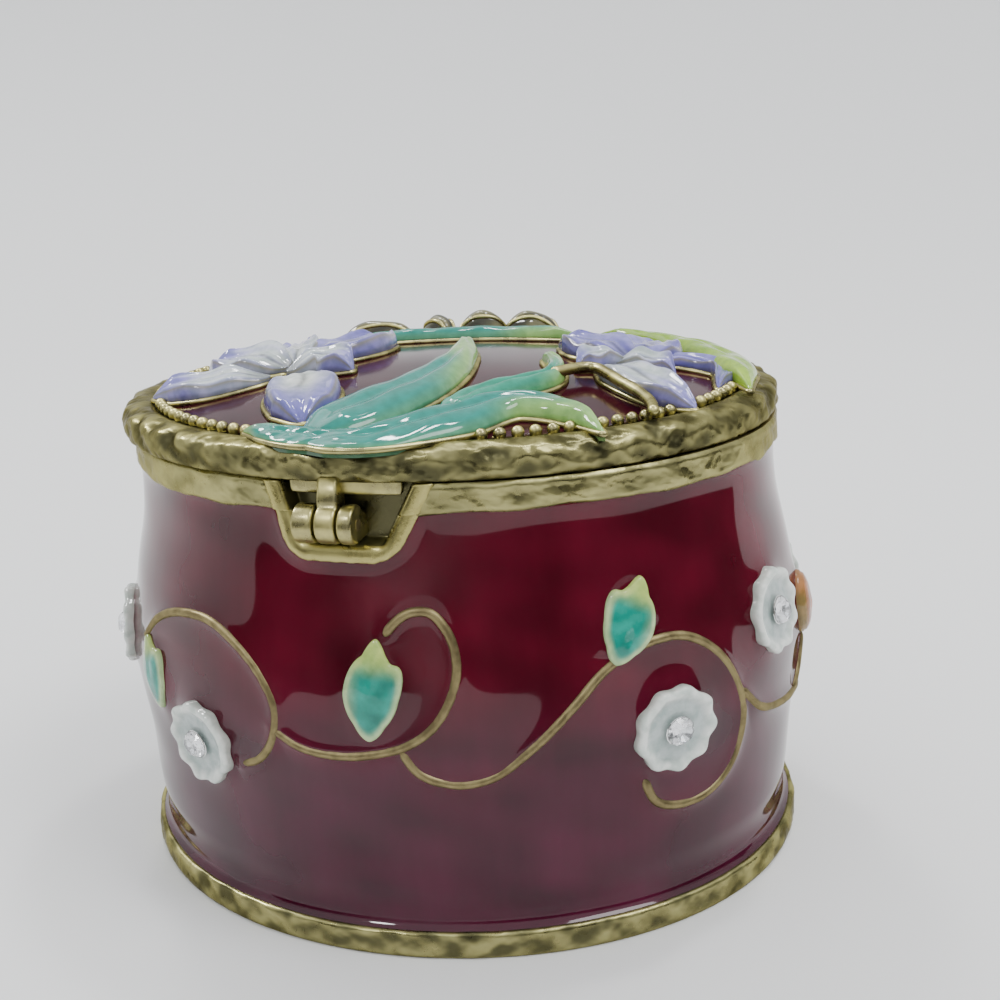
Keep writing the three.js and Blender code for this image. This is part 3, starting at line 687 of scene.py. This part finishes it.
blades = {
    "leaf": [
        blade([(-4.2, -25.3), (-1, -20), (1.6, -14.5), (2.6, -9.5), (2.2, -3), (0.3, 4.8)],
              [2.2, 3.4, 2.8, 1.9, 1.3, 1.1], 0.6, "teal", tip=0.55),
        blade([(-3.5, -27.2), (1.5, -26.2), (6.3, -21.8), (11.6, -16.7), (15.9, -17.4), (19.6, -21.4)],
              [1.2, 2.4, 2.8, 2.1, 1.35, 0.8], 0.45, "teal", tip=0.68),
        blade([(6.1, -21.2), (7.9, -15.8), (10.4, -12.5), (12.2, -9.5), (11.7, -5.3), (9.4, -1.4)],
              [1.2, 1.6, 1.4, 1, 0.8, 0.5], 0.5, "green", tip=0.66),
        blade([(2, -26.8), (-4, -25.9), (-10, -24)], [1.2, 1.7, 0.4], 0.3, "teal"),
        blade([(9, 22), (19.4, 15.6), (26, 5), (28.8, -4.4)], [0.6, 2, 2.1, 0.8], 0.55, "lime"),
        blade([(-15, 12), (-6, 14.5), (2, 16), (9, 17.5)], [0.6, 1.9, 1.8, 0.6], 0.4, "teal")],
    "petal": [
        blade([(17.5, 1), (13.5, 4), (9.2, 6)], [1, 3.2, 1.2], 0.9, "violet", curl=(0, 0.5)),
        blade([(17.5, 1.5), (18, 6.5), (18.5, 11.5)], [1, 3.2, 1.5], 0.7, "violet", curl=(0.2, 0)),
        blade([(17.5, 1.5), (21.5, 4), (25, 3), (26, -4)], [1, 1.7, 1.1, 0.5], 0.2, "violet"),
        blade([(16, -1), (19, -1.2), (22, -2.4)], [0.9, 1.9, 0.6], 0.7, "white", curl=(0.5, 0)),
        blade([(15.4, -2.6), (18.6, -6.4), (21.8, -9.6), (25.3, -12.4)],
              [0.9, 2.3, 2, 0.9], 0.7, "white", curl=(0.5, 0.1)),
        blade([(17.2, 0.6), (14.8, -1.6), (13.4, -4.4)], [0.9, 1.6, 0.6], 0.8, "white", curl=(0, 0.3)),
        blade([(-14, -6), (-19, -4), (-24, -3)], [1, 3.2, 1.4], 1.2, "white", curl=(0, 1)),
        blade([(-14.5, -9), (-19, -10.5), (-25.6, -11.4)], [0.9, 2.6, 1], 0.9, "white", curl=(-0.2, 0.4)),
        blade([(-13.5, -5.5), (-16, 0), (-18.5, 6)], [0.9, 2.6, 1.2], 1, "white", curl=(0, 0.5)),
        blade([(-13, -5), (-10.8, 2.5), (-10, 9.5)], [0.9, 3.6, 1.7], 0.9, "violet", curl=(0.2, 0.2)),
        blade([(-13.6, -7.6), (-10.4, -6), (-7, -7.2)], [0.8, 2.2, 1], 1.1, "white", curl=(0.4, -0.2)),
        blade([(-12, -9.4), (-8.4, -15.5), (-5.8, -21.6)], [1.1, 3.4, 1.9], 1, "fall", curl=(-0.3, -0.1))],
    # The far lobes are near-black as painted shade, standing in for undersides turned away from the light.
    "lobe": [
        blade([(-11, 20.2), (-15, 20), (-19, 18.3)], [1, 1.7, 1], 1.7, "dark"),
        blade([(-6.6, 20), (-8.6, 21.6), (-10.6, 22.6)], [0.9, 1.6, 1], 1.8, "dark"),
        blade([(-6, 20.8), (-3.4, 22), (-0.8, 22.8)], [0.9, 1.8, 1.1], 2.1, "dark"),
        blade([(-1, 21.4), (2, 22.3), (5.2, 21.5)], [1, 1.8, 1.1], 2, "dark")],
    "stem": [
        blade([(12.2, -9.5), (15.1, -6.3), (18.4, -9.6), (21.7, -13.8), (22.6, -16.4)],
              [0.5, 0.5, 0.5, 0.5, 0.5], 0.2)]}
tones = {"teal": ([0.004, 0.22, 0.175], [0.25, 0.46, 0.12]),
         "green": ([0.015, 0.28, 0.18], [0.25, 0.46, 0.12]),
         "lime": ([0.24, 0.41, 0.004], [0.33, 0.52, 0.02]),
         "violet": ([0.12, 0.105, 0.4], [0.25, 0.23, 0.55]),
         "white": ([0.54, 0.58, 0.58], [0.25, 0.23, 0.55]),
         "fall": ([0.16, 0.145, 0.48], [0.68, 0.7, 0.67]),
         # The dark tone is painted shade on the far lobes.
         "dark": ([0.04, 0.036, 0.022], [0.2, 0.18, 0.09]),
         # The side tone is painted shade at the foot of the blades; the line tone is the gold outline.
         "side": [0.05, 0.04, 0.022], "line": [0.24, 0.21, 0.1]}


# Middle line and half width of a blade, eased round at both ends
def bladeLine(shape, count):
    line = smoothPath(shape["axis"], count)
    share = np.linspace(0, 1, count)
    knots = np.linspace(0, 1, len(shape["half"]))
    half = smoothPath(np.stack([knots * 4, shape["half"]], -1), count)
    half = np.interp(share * 4, half[:, 0], half[:, 1])
    half = half * np.sqrt(np.clip(share / 0.08, 0, 1)) * np.sqrt(np.clip((1 - share) / 0.2, 0, 1))
    ahead = np.gradient(line, axis=0)
    ahead /= np.linalg.norm(ahead, axis=1)[:, None]
    return line, half, np.stack([ahead[:, 1], -ahead[:, 0]], axis=-1), share


# Leaves are pillows with a groove along the middle; petals are cups with ruffled, curled edges.
# The height is the ground plus the crest times the cross shape, running out at both ends.
def bladeSurface(shape, kind, index, u, count):
    line, half, side, share = bladeLine(shape, count)
    u = np.asarray(u, float)[None, :]
    s = share[:, None]
    flat = line[:, None, :] + side[:, None, :] * (half[:, None] * u)[..., None]
    ground = domeHeight(flat[..., 0], flat[..., 1])
    crest = reliefHeight(flat[..., 0], flat[..., 1]) + shape["ridge"] - ground
    if kind == "leaf":
        ends = np.sqrt(np.clip(s / 0.1, 0, 1) * np.clip((1 - s) / 0.12, 0, 1))
        across = np.sqrt(np.clip(1 - np.abs(u) ** 3, 0, 1))
        groove = 0.26 * np.exp(-((u / 0.18) ** 2)) * ease(s, 0.02, 0.2) * (1 - ease(s, 0.6, 0.8))
        lumps = np.cos(s * 30 + 3 * u) * np.cos(u * 4 + s * 9 + index)
        detail = 0.09 * lumps - groove
    elif kind == "lobe":
        ends = np.sqrt(np.clip(1 - np.abs(2 * s - 1) ** 2.4, 0, 1))
        across = np.sqrt(np.clip(1 - u**2, 0, 1))
        detail = 0.12 * np.cos(s * 9 + index) * np.cos(u * 3)
    else:
        ends = (0.3 + 0.7 * ease(s, 0, 0.4)) * np.sqrt(np.clip((1 - s) / 0.15, 0, 1))
        across = np.sqrt(np.clip(1 - (np.maximum(np.abs(u) - 0.76, 0) / 0.24) ** 2, 0, 1))
        low, high = shape["curl"]
        curl = low * np.maximum(-u, 0) ** 2 + high * np.maximum(u, 0) ** 2
        ruffle = 0.3 * np.abs(u) ** 1.5 * np.sin(s * 13 + 2 * index + 2 * np.sign(u))
        detail = curl + (ruffle - 0.5 * (1 - u**2)) * ease(s, 0.15, 0.5) + 0.07 * np.cos(u * 12 + index)
    return flat, ground, ground + 0.2 + (crest - 0.2 + detail) * across * ends, s


# A blade's skin down to the ground, coloured from its first tone to its second along and across
def bladeGrid(shape, kind, index):
    u = np.concatenate([[-1.0], np.sin(np.linspace(-np.pi / 2, np.pi / 2, 43)), [1.0]])
    flat, ground, height, s = bladeSurface(shape, kind, index, u, 90)
    height[:, [0, -1]] = ground[:, [0, -1]] - 0.4
    u = u[None, :]
    first, second = tones[shape["colour"]]
    rise = shape["tip"]
    if kind == "leaf":
        flank = 0.8 * ease(u, 0.1, 0.8) * ease(s, rise - 0.2, rise)
        part = ease(s, rise, rise + 0.2) + flank + 0.3 * ease(u**2, 0.5, 1)
    elif shape["colour"] == "fall":
        part = np.exp(-((u / 0.6) ** 2) - ((s - 0.4) / 0.26) ** 2) * 1.3
    elif shape["colour"] == "white":
        streaks = 0.35 * np.maximum(np.cos(u * 9 + s * 4), 0)
        part = ease(s, 0.5, 0.92) + streaks + 0.4 * ease(np.abs(u), 0.6, 1.0)
    else:
        part = 0.5 + 0.5 * np.cos(u * 7 + s * 5 + index)
    tint = mixTint(np.array(first), second, np.clip(part + 0 * height, 0, 1))
    if kind == "petal":
        # Painted shade: a dark crease down each petal's middle near its base, and every petal darker toward
        # the heart of the blossom.
        crease = 0.6 * np.exp(-(((u + 0.12 * np.sin(s * 9 + index)) / 0.09) ** 2)) * ease(s, 0.0, 0.2)
        tint = tint * (1 - crease * (1 - ease(s, 0.5, 0.8)))[..., None]
        tint = tint * (0.4 + 0.6 * ease(s, 0.02, 0.3))[..., None]
        tint = mixTint(tint, tones["line"], 0.75 * np.exp(-(((np.abs(u) - 0.9) / 0.04) ** 2)) + 0 * height)
    # Painted shade: each blade darkens toward the near-black side tone where its skirt meets the ground.
    tint = mixTint(tint, tones["side"], ease(np.abs(u), 0.97, 1.0) * 0.65 + 0 * height)
    return {"points": np.concatenate([flat, height[..., None]], axis=-1), "tint": tint, "heart": (0, 0, -200)}


# A fine gold line round each blade, laid where its edge meets the ground; on a lobe it lies on the shoulder
def bladeEdge(shape, kind, index):
    shoulder = 0.6 if kind == "lobe" else 1.02
    flat, ground, height, s = bladeSurface(shape, kind, index, [-shoulder, shoulder], 70)
    level = height - 0.05 if kind == "lobe" else ground + 0.15
    sides = np.concatenate([flat, level[..., None]], axis=-1)
    path = np.concatenate([sides[:, 1], sides[::-1, 0]])
    outward = np.tile([0.0, 0.0, 1.0], (len(path), 1))
    return {"points": wire(path, outward, 0.24, 0.26, 8), "wrapColumns": True, "heart": (0, 0, 30)}


addPiece("lidLeaves", [bladeGrid(shape, "leaf", i) for i, shape in enumerate(blades["leaf"])],
         glazed, "lid")
addPiece("lidPetals", [bladeGrid(shape, kind, i) for kind in ("petal", "lobe")
                       for i, shape in enumerate(blades[kind])], glazed, "lid")


# The stem on the lid is a round wire over the dome
def stemGrid(shape):
    line = smoothPath(shape["axis"], 70)
    path = np.concatenate([line, reliefHeight(line[:, :1], line[:, 1:])], axis=-1)
    return {"points": wire(path, np.tile([0.0, 0.0, 1.0], (70, 1)), 0.5, 0.5, 12), "wrapColumns": True}


addPiece("lidEdges", [bladeEdge(shape, kind, i) for kind in ("leaf", "petal", "lobe")
                      for i, shape in enumerate(blades[kind])]
         + [stemGrid(shape) for shape in blades["stem"]], hingeBrass, "lid")

lidRim = {"profile": [(-2.9, 40.8), (-0.5, 40.76), (0.2, 40.8), (0.46, 41.25), (0.52, 41.9), (0.45, 42.5),
                      (0.15, 43.05), (-0.6, 43.42), (-1.5, 43.55), (-2.1, 43.42), (-2.5, 43.2), (-3.4, 43.15),
                      (-4.0, 43.3)], "bumps": 0.12, "shade": 0.68}


# The lid's rim: a rolled, hammered edge with a ledge for the beads
def lidRimGrid():
    band = smoothPath(lidRim["profile"], 64)
    turn = np.linspace(0, 2 * np.pi, 1100, endpoint=False)[:, None]
    along = np.linspace(0, 8.5, 64)[None, :]
    relief = hammered(turn, along, 41, lidRim["bumps"]) * ease(along, 1.6, 3.2)
    points = ovalPoint(turn, band[:, 0] + relief, band[:, 1] + 0.3 * relief)
    points[..., 0] += shared["lidSlip"]
    # Painted shade: the lid rim's metal is darkened by the factor 0.68, a shaded copy of the same brass as
    # the band.
    tint = hammeredTint(relief, lidRim["bumps"]) * lidRim["shade"]
    return {"points": points, "tint": tint, "wrapRows": True, "heart": (0, 0, 41)}


rimPiece = addPiece("lidRim", [lidRimGrid()], rimBrass, "lid")
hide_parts("lid")


# The enamel ground of the lid: the dome with a shallow wave
def lidGround():
    shares = np.linspace(1.03, 0, 60)
    points = ovalDisc(-shared["domeInset"], shares, np.zeros(60), 360, shared["lidSlip"])
    points[..., 2] = domeHeight(points[..., 0], points[..., 1]) - 0.15 * (shares > 1.0)
    x, y = points[..., 0], points[..., 1]
    points[..., 2] += 0.03 * np.cos(0.33 * x + 0.21 * y + 1) * np.cos(0.29 * y - 0.17 * x)
    return {"points": points, "wrapRows": True, "heart": (0, 0, 0)}


addPiece("lidGround", [lidGround()], lidEnamel, "lid")

beads = {"inset": 2.95, "pitch": 1.4, "radius": 0.55}


# Beads in a row on the ledge, left out where a leaf or petal lies across the row
def beadGrids():
    halfLength = shared["halfLength"] - beads["inset"]
    halfWidth = shared["halfWidth"] - beads["inset"]
    count = int(round(np.pi * (halfLength + halfWidth) / beads["pitch"]))
    turn = np.arange(count) / count * 2 * np.pi
    spots = np.stack([halfLength * np.cos(turn) + shared["lidSlip"], halfWidth * np.sin(turn)], axis=-1)
    free = np.ones(count, bool)
    for shape in blades["leaf"] + blades["petal"] + blades["lobe"]:
        line, half, side, share = bladeLine(shape, 60)
        gap = np.linalg.norm(spots[:, None, :] - line[None], axis=-1) - half[None]
        free &= gap.min(axis=1) > 0.15
    around = np.linspace(0, 2 * np.pi, 12, endpoint=False)[:, None]
    down = np.linspace(0.0, 2.2, 7)[None, :]
    ball = beads["radius"] * np.stack(np.broadcast_arrays(
        np.sin(down) * np.cos(around), np.sin(down) * np.sin(around), np.cos(down)), axis=-1)
    return [{"points": ball + np.array([x, y, shared["rimTop"] + 0.2]), "wrapRows": True,
             "heart": (x, y, shared["rimTop"] + 0.2)} for x, y in spots[free]]


addPiece("lidBeads", beadGrids(), hingeBrass, "lid")

lidInside = {"rise": 2.2, "profile": [(-2.9, 40.8), (-3.0, 40.6), (-3.1, 40.15), (-3.3, 40.1), (-4.1, 40.1),
                                      (-4.3, 40.3), (-4.3, 41.5)]}


# Under the lid: the lip that drops into the mouth, then the hollow of the dome
def lidUnder():
    lip = turned(lidInside["profile"], 240, slip=shared["lidSlip"])
    shares = np.linspace(1, 0, 20)
    spread, low = lidInside["profile"][-1]
    dome = ovalDisc(spread, shares, low + lidInside["rise"] * (1 - shares**2), 240, shared["lidSlip"])
    return [{"points": lip, "wrapRows": True}, {"points": dome, "wrapRows": True}]


addPiece("lidUnder", lidUnder(), plainBrass, "lid", inward=True, heart=(0, 0, 30))

apron = {"half": 4.9, "foot": 39.7, "top": 42.0, "inner": -1.0, "outer": 0.05}


# The lid's hinge: an apron that hangs into the notch, and a strap down to the middle barrel
def lidHingeGrids():
    x = np.linspace(-1, 1, 60)
    angle = np.linspace(0, 2 * np.pi, 36, endpoint=False)
    square = np.stack([np.cos(angle), np.sin(angle)], -1)
    square = np.sign(square) * np.abs(square) ** 0.45
    ends = np.sqrt(np.clip((1 - np.abs(x)) / 0.05, 0, 1))[:, None]
    thick = apron["outer"] - apron["inner"]
    tall = apron["top"] - apron["foot"]
    spread = (apron["inner"] + apron["outer"]) / 2 + thick / 2 * square[:, 0] * ends
    height = (apron["foot"] + apron["top"]) / 2 + tall / 2 * square[:, 1] * ends
    turn = np.arcsin(x[:, None] * apron["half"] / shared["halfLength"])
    slab = ovalPoint(turn, spread, height)
    strap = strapOutline([(-26.6, 38.1), (-26.6, 41.2), (-28.1, 41.2), (-28.5, 39.6)], 110, 370)
    return [{"points": slab, "wrapColumns": True, "heart": (0, -27.7, 40.7)},
            {"points": roundedBar(hinge["lid"], strap), "wrapColumns": True, "heart": (-0.3, -27.7, 38.5)}]


lidHingePiece = addPiece("lidHinge", lidHingeGrids(), hingeBrass, "lid")
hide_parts("lid")
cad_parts["hinge_pin"].data.materials.clear()
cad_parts["hinge_pin"].data.materials.append(wireBrass)
print("lid made")

stage = {"paper": 0.8, "flat": 0.32, "reach": 1.6, "bowl": 0.75, "sky": 1.35}
cardSize = {"radius": 0.18, "height": 0.085, "from": -50, "to": 112, "black": 0.03, "stripe": 0.4,
            "stripeAt": -0.012, "stripeHalf": 0.045}
lamps = [{"name": "key", "spot": (0.28, -0.08, 0.5), "size": 0.22, "power": 1.3},
         {"name": "fill", "spot": (-0.4, 0.3, 0.5), "size": 0.4, "power": 0.7},
         {"name": "glintLeft", "spot": (-0.2, 0.26, 0.6), "size": 0.09, "power": 0.8},
         {"name": "glintRight", "spot": (0.1, 0.16, 0.62), "size": 0.07, "power": 0.8},
         {"name": "sparkleFront", "spot": (-0.17, -0.36, 0.45), "size": 0.06, "power": 0.5, "gloss": True},
         {"name": "sparkleLeft", "spot": (-0.36, 0.07, 0.42), "size": 0.12, "power": 2.0, "gloss": True},
         {"name": "sparkleHigh", "spot": (-0.05, 0.22, 0.58), "size": 0.05, "power": 0.5, "gloss": True}]


# The paper: flat under the box, then rising evenly all round like a shallow bowl
def paperGrid():
    reach = np.concatenate([[0.0], np.linspace(0.1, stage["reach"], 60)])
    rise = stage["bowl"] * np.maximum(reach - stage["flat"], 0) ** 2
    turn = np.linspace(0, 2 * np.pi, 96, endpoint=False)[:, None]
    return np.stack(np.broadcast_arrays(reach * np.sin(turn), -reach * np.cos(turn), rise), axis=-1)


# A card beside and behind the camera, black with a grey stripe, seen only in reflections
def cardGrid():
    turn = np.radians(np.linspace(cardSize["from"], cardSize["to"], 60))[:, None]
    height = np.linspace(0.0, cardSize["height"], 6)[None, :]
    radius = cardSize["radius"]
    return np.stack(np.broadcast_arrays(radius * np.sin(turn), -radius * np.cos(turn), height), axis=-1)


# One stage object from a grid of points in metres
def stagePiece(name, spots, material, wrap, tint=None):
    rows, columns = spots.shape[:2]
    index = np.arange(rows * columns).reshape(rows, columns)
    index = np.vstack([index, index[:1]]) if wrap else index
    quads = np.stack([index[:-1, :-1], index[1:, :-1], index[1:, 1:], index[:-1, 1:]], -1).reshape(-1, 4)
    mesh = bpy.data.meshes.new(name)
    mesh.from_pydata(spots.reshape(-1, 3).tolist(), [], quads.tolist())
    mesh.polygons.foreach_set("use_smooth", np.ones(len(quads), bool))
    if tint is not None:
        layer = mesh.attributes.new("tint", "FLOAT_COLOR", "POINT")
        layer.data.foreach_set("color", np.repeat(tint.ravel(), 4).astype(np.float32))
    mesh.materials.append(material)
    piece = bpy.data.objects.new(name, mesh)
    bpy.context.scene.collection.objects.link(piece)
    return piece


floorPaper = makeMaterial("floorPaper", (stage["paper"],) * 3, roughness=0.8)
stagePiece("floor", paperGrid(), floorPaper, True)
cardPaper = makeMaterial("cardPaper", (0.1,) * 3, roughness=0.9, tinted=True)
cardSpots = cardGrid()
aside = (cardSpots[..., 0] - cardSize["stripeAt"]) / cardSize["stripeHalf"]
fade = cardSize["black"] + cardSize["stripe"] * np.exp(-(aside**2))
card = stagePiece("darkCard", cardSpots, cardPaper, False, fade)
card.visible_camera = False
card.visible_diffuse = False
card.visible_shadow = False


# An even, faintly cool sky
def makeWorld():
    world = bpy.data.worlds.new("studio")
    bpy.context.scene.world = world
    world.use_nodes = True
    world.node_tree.nodes["Background"].inputs["Color"].default_value = (0.96, 0.98, 1.0, 1)
    world.node_tree.nodes["Background"].inputs["Strength"].default_value = stage["sky"]


# A soft light that looks at the box; one for the gloss alone leaves the rest unlit
def softLight(lamp):
    data = bpy.data.lights.new(lamp["name"], "AREA")
    data.shape = "DISK"
    data.size = lamp["size"]
    data.energy = lamp["power"]
    made = bpy.data.objects.new(lamp["name"], data)
    bpy.context.scene.collection.objects.link(made)
    made.location = lamp["spot"]
    made.visible_diffuse = not lamp.get("gloss", False)
    made.rotation_euler = (Vector((0, 0, 0.03)) - Vector(lamp["spot"])).to_track_quat("-Z", "Y").to_euler()


makeWorld()
for lamp in lamps:
    softLight(lamp)

view = {"azimuth": 0.2995, "elevation": 0.2718, "distance": 134.68, "roll": -0.048, "aside": 4.07,
        "aim": 31.4, "lens": 49.48}
cameraData = bpy.data.cameras.new("camera")
cameraData.lens = view["lens"]
cameraData.sensor_width = 36.0
cameraData.clip_start = 0.005
camera = bpy.data.objects.new("camera", cameraData)
bpy.context.scene.collection.objects.link(camera)
bpy.context.scene.camera = camera
back = Vector((np.sin(view["azimuth"]) * np.cos(view["elevation"]),
               -np.cos(view["azimuth"]) * np.cos(view["elevation"]), np.sin(view["elevation"])))
right = (-back).cross(Vector((0, 0, 1))).normalized()
up = right.cross(-back)
rolledRight = right * math.cos(view["roll"]) + up * math.sin(view["roll"])
rolledUp = up * math.cos(view["roll"]) - right * math.sin(view["roll"])
spot = (Vector((0, 0, view["aim"])) + back * view["distance"] + right * view["aside"]) * mm
camera.matrix_world = Matrix((
    (rolledRight.x, rolledUp.x, back.x, spot.x), (rolledRight.y, rolledUp.y, back.y, spot.y),
    (rolledRight.z, rolledUp.z, back.z, spot.z), (0, 0, 0, 1)))
print("stage made")
